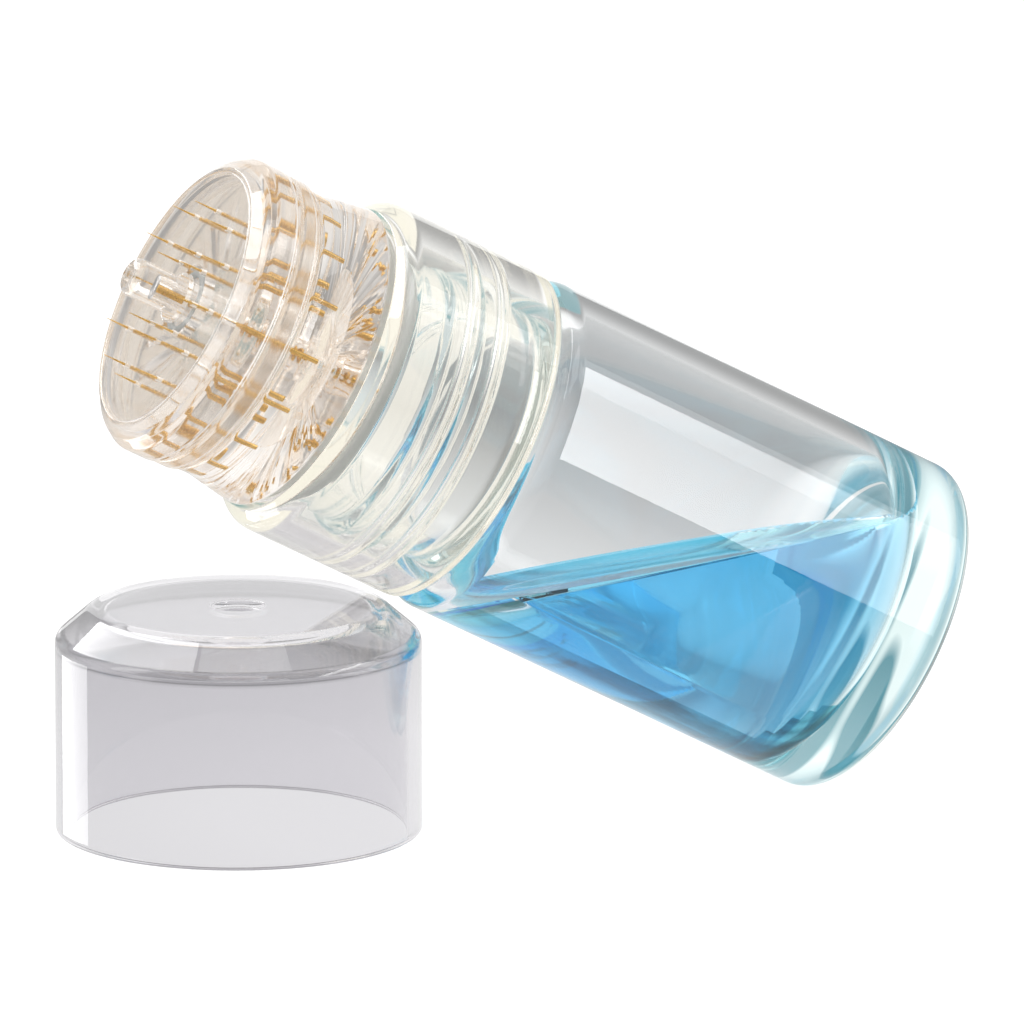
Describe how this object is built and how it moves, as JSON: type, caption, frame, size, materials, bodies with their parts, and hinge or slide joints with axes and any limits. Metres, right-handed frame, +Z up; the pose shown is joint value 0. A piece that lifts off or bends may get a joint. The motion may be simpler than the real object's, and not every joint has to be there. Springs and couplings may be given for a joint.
{
  "type": "derma stamp serum applicator",
  "caption": "Clear glass serum bottle with a screw-on needle head, a sprung valve button and a push-on overcap, leaning on the standing cap.",
  "frame": {"origin": "on the floor under the middle of the whole group's box", "axes": "+Z up, +X from the needle face towards the bottle's base, +Y across the bottle"},
  "size_m": [0.066, 0.0256, 0.0476],
  "materials": {
    "clear_glass": "polished, clear with greenish edges",
    "serum": "clear blue liquid",
    "collar_plastic": "clear moulded, faintly green",
    "head_plastic": "clear moulded, faintly warm",
    "face_plastic": "clear, finely hazed",
    "pale_silicone": "translucent, satin",
    "gasket_silicone": "translucent, satin",
    "seal_silicone": "translucent, satin",
    "gold": "polished gold plating",
    "cap_plastic": "clear, polished"
  },
  "bodies": {
    "bottle": {"glass_bottle": "clear_glass", "serum": "serum"},
    "seal": {"neck_gasket": "gasket_silicone"},
    "head": {"screw_collar": "collar_plastic", "waist_ring": "head_plastic", "silicone_ring": "pale_silicone", "front_ring": "head_plastic", "face_disc": "face_plastic", "needle_holder": "head_plastic", "valve_body": "head_plastic", "spring_seat": "head_plastic", "plunger_seal": "seal_silicone", "valve_spring": "gold", "needle_01": "gold", "needle_02": "gold", "needle_03": "gold", "needle_04": "gold", "needle_05": "gold", "needle_06": "gold", "needle_07": "gold", "needle_08": "gold", "needle_09": "gold", "needle_10": "gold", "needle_11": "gold", "needle_12": "gold", "needle_13": "gold", "needle_14": "gold", "needle_15": "gold", "needle_16": "gold", "needle_17": "gold", "needle_18": "gold", "needle_19": "gold", "needle_20": "gold"},
    "button": {"valve_plunger": "head_plastic", "push_rod": "gold"},
    "ball": {"valve_ball": "gold"},
    "cap": {"overcap": "cap_plastic"}
  },
  "joints": [
    {"name": "head_lift", "type": "slide", "parent": "bottle", "child": "seal", "axis": [-0.8829, 0, 0.4695], "range_m": [0, 0.0036]},
    {"name": "head_turn", "type": "hinge", "parent": "seal", "child": "head", "pos_m": [-0.00765, 0, 0.02929], "axis": [-0.8829, 0, 0.4695], "range_deg": [0, 540.2]},
    {"name": "button_press", "type": "slide", "parent": "head", "child": "button", "axis": [0.8829, 0, -0.4695], "range_m": [0, 0.0012], "stiffness_N_per_m": 2, "springref_m": -0.001, "deforming": ["valve_spring"]},
    {"name": "ball_drop", "type": "slide", "parent": "head", "child": "ball", "axis": [0.8829, 0, -0.4695], "range_m": [0, 0.0012]},
    {"name": "cap_slide", "type": "slide", "parent": "bottle", "child": "cap", "axis": [-1, 0, 0], "range_m": [0, 0.04]}
  ],
  "couplings": [
    {"joint": "head_turn", "follows": "head_lift", "rad_per_m": 2618},
    {"joint": "ball_drop", "follows": "button_press", "ratio": 1}
  ]
}
